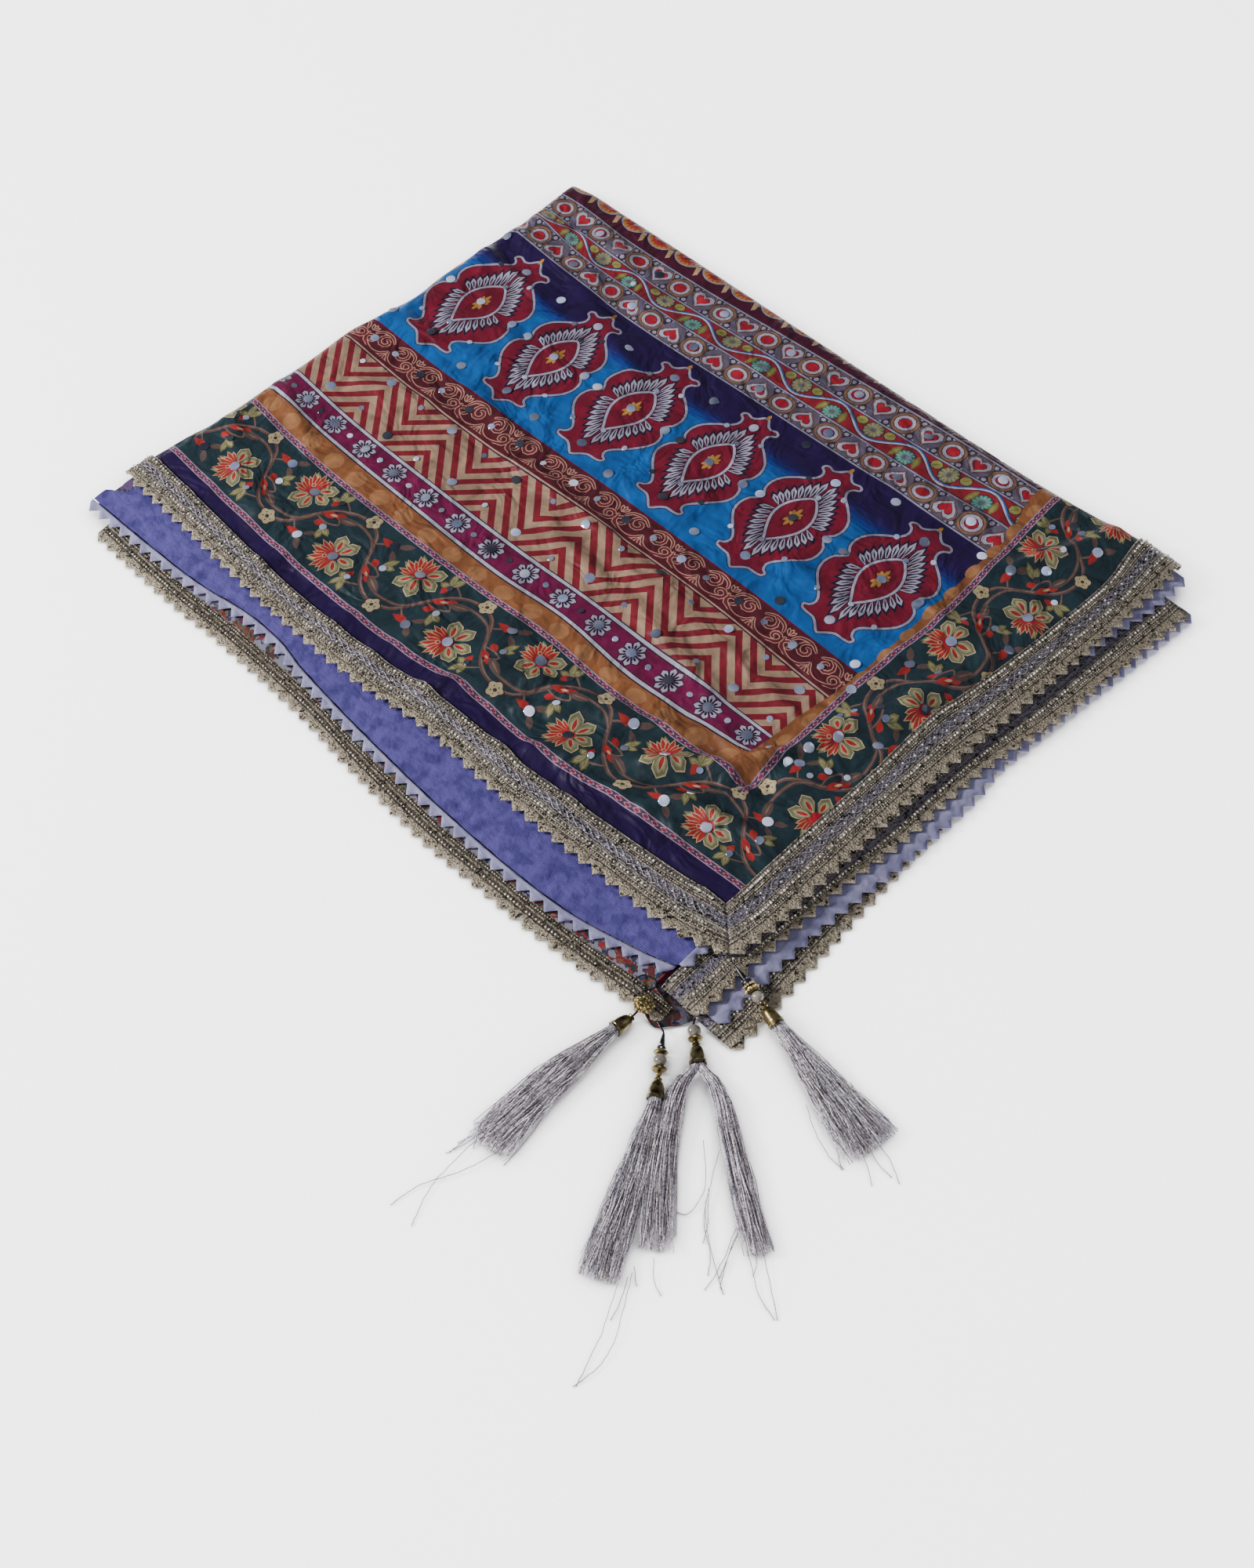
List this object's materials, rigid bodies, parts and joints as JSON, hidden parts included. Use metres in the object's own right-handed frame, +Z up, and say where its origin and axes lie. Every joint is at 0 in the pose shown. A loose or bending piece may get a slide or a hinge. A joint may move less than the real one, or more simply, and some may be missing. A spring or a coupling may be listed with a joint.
{
  "type": "dupatta stole",
  "caption": "Folded rectangular printed satin stole lying flat, with toothed metallic lace on its hems and thread tassels at its corners.",
  "frame": {"origin": "middle of the underside of the whole outline, tassels included, at the level of the surface that it lies on", "axes": "+X along the end hem towards the corner where the tassels gather, +Y along the side hem away from the end hem, +Z up from the surface"},
  "size_m": [0.655, 0.6078, 0.016],
  "materials": {
    "print_cloth": "satin",
    "hidden_cloth": "satin",
    "lavender_reverse": "matte",
    "pale_edging": "matte",
    "metallic_lace": "satin",
    "tassel_thread": "satin",
    "brass": "polished",
    "pearl_bead": "gloss",
    "gunmetal": "satin"
  },
  "bodies": {
    "root": {"core": "hidden_cloth", "top_panel": "print_cloth", "top_lace_end": "metallic_lace", "top_lace_side": "metallic_lace", "reverse_panel": "lavender_reverse", "reverse_edging_end": "pale_edging", "reverse_edging_corner": "pale_edging", "reverse_edging_back": "pale_edging", "lower_panel": "print_cloth", "lower_lace": "metallic_lace", "middle_lace": "metallic_lace", "middle_edging": "pale_edging", "base_lace": "metallic_lace", "tassel_one_bead": "brass", "tassel_one_cap": "brass", "tassel_one_tie": "gunmetal", "tassel_one_strands": "tassel_thread", "tassel_two_tie": "gunmetal", "tassel_two_cone": "gunmetal", "tassel_two_beads": "pearl_bead", "tassel_two_cap": "brass", "tassel_two_strands": "tassel_thread", "tassel_three_tie": "gunmetal", "tassel_three_beads": "pearl_bead", "tassel_three_cap": "brass", "tassel_three_left_strands": "tassel_thread", "tassel_three_right_strands": "tassel_thread", "tassel_four_beads": "pearl_bead", "tassel_four_cap": "brass", "tassel_four_strands": "tassel_thread"}
  },
  "joints": []
}
